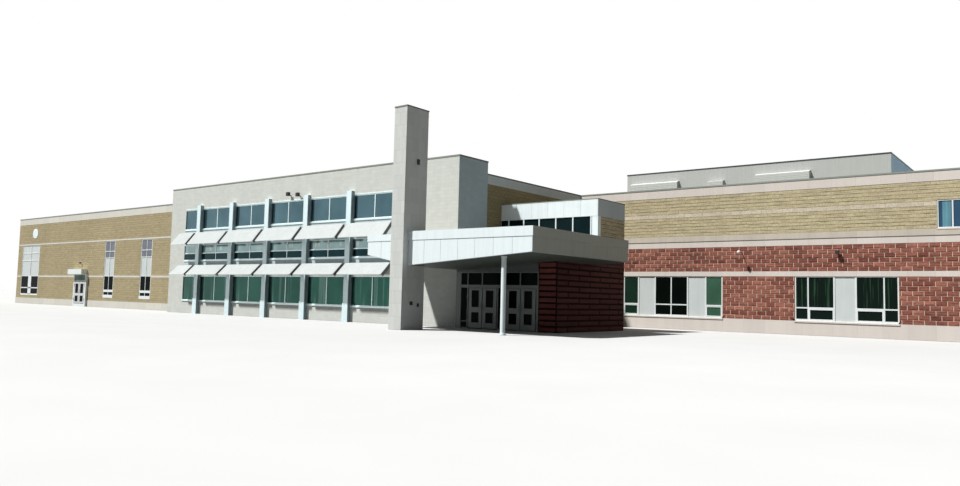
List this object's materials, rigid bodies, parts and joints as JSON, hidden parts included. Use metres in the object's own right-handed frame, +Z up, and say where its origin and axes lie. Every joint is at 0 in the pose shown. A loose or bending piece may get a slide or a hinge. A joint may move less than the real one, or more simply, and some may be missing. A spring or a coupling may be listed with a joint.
{
  "type": "school building, 1:10 scale model",
  "caption": "Long two-storey school building with a pale pylon, white entrance canopy, sunshades and hinged doors.",
  "frame": {"origin": "under the middle of the whole footprint, on the ground", "axes": "+X to the right along the front, +Y into the building, +Z up"},
  "size_m": [9.151, 3.916, 1.102],
  "materials": {
    "pale_block": "matt pale concrete block",
    "tan_brick": "matt tan brick",
    "red_brick": "matt red brick with pale joints",
    "pale_band": "smooth pale stone",
    "white_metal": "satin white",
    "shade_metal": "satin off-white",
    "dark_metal": "satin dark brown",
    "grey_frame": "satin grey green",
    "door_paint": "satin grey",
    "wing_door_paint": "satin white",
    "window_glass": "tinted, glossy",
    "white_panel": "satin white",
    "siding": "satin warm grey siding",
    "roofing": "matt gravel roofing",
    "floor_concrete": "matt concrete",
    "lamp_metal": "satin"
  },
  "bodies": {
    "root": {"block_bands": "pale_band", "block_end_wall": "tan_brick", "block_glass": "window_glass", "canopy_column": "white_metal", "canopy_deck": "roofing", "canopy_fascia": "white_metal", "canopy_soffit": "grey_frame", "clerestory_fascia": "white_metal", "clerestory_side_wall": "tan_brick", "copings": "dark_metal", "entrance_frame": "grey_frame", "entrance_glass": "window_glass", "ground_floor": "floor_concrete", "lobby_rear_wall": "tan_brick", "lobby_red_wall": "red_brick", "penthouse": "siding", "pylon": "pale_block", "red_lower_walls": "red_brick", "roof_hoods": "white_metal", "roofs": "roofing", "shade_brackets": "lamp_metal", "side_wall": "tan_brick", "slab_end_walls": "pale_block", "slab_front_wall": "pale_block", "slab_glass": "window_glass", "sunshades": "shade_metal", "tan_upper_walls": "tan_brick", "upper_floor": "floor_concrete", "wall_lamps": "lamp_metal", "white_fins": "white_metal", "white_panels": "white_panel", "wing_bands": "pale_band", "wing_end_wall": "tan_brick", "wing_glass": "window_glass", "wing_plaque": "white_metal", "wing_porch": "white_metal", "wing_wall_at_door": "tan_brick", "wing_wall_left": "tan_brick", "wing_wall_right": "tan_brick"},
    "entrance_leaf_1": {"entrance_leaf_1": "door_paint"},
    "entrance_leaf_2": {"entrance_leaf_2": "door_paint"},
    "entrance_leaf_3": {"entrance_leaf_3": "door_paint"},
    "entrance_leaf_4": {"entrance_leaf_4": "door_paint"},
    "wing_leaf_left": {"wing_leaf_left": "wing_door_paint"},
    "wing_leaf_right": {"wing_leaf_right": "wing_door_paint"}
  },
  "joints": [
    {"name": "entrance_hinge_1", "type": "hinge", "parent": "root", "child": "entrance_leaf_1", "pos_m": [1.576, -1.4485, 0.005], "axis": [0, 0, -1], "range_deg": [0, 90]},
    {"name": "entrance_hinge_2", "type": "hinge", "parent": "root", "child": "entrance_leaf_2", "pos_m": [1.762, -1.4485, 0.005], "axis": [0, 0, 1], "range_deg": [0, 90]},
    {"name": "entrance_hinge_3", "type": "hinge", "parent": "root", "child": "entrance_leaf_3", "pos_m": [1.816, -1.4485, 0.005], "axis": [0, 0, -1], "range_deg": [0, 90]},
    {"name": "entrance_hinge_4", "type": "hinge", "parent": "root", "child": "entrance_leaf_4", "pos_m": [2.002, -1.4485, 0.005], "axis": [0, 0, 1], "range_deg": [0, 90]},
    {"name": "wing_hinge_left", "type": "hinge", "parent": "root", "child": "wing_leaf_left", "pos_m": [-3.2255, -1.2885, 0.03], "axis": [0, 0, -1], "range_deg": [0, 90]},
    {"name": "wing_hinge_right", "type": "hinge", "parent": "root", "child": "wing_leaf_right", "pos_m": [-3.0315, -1.2885, 0.03], "axis": [0, 0, 1], "range_deg": [0, 90]}
  ]
}
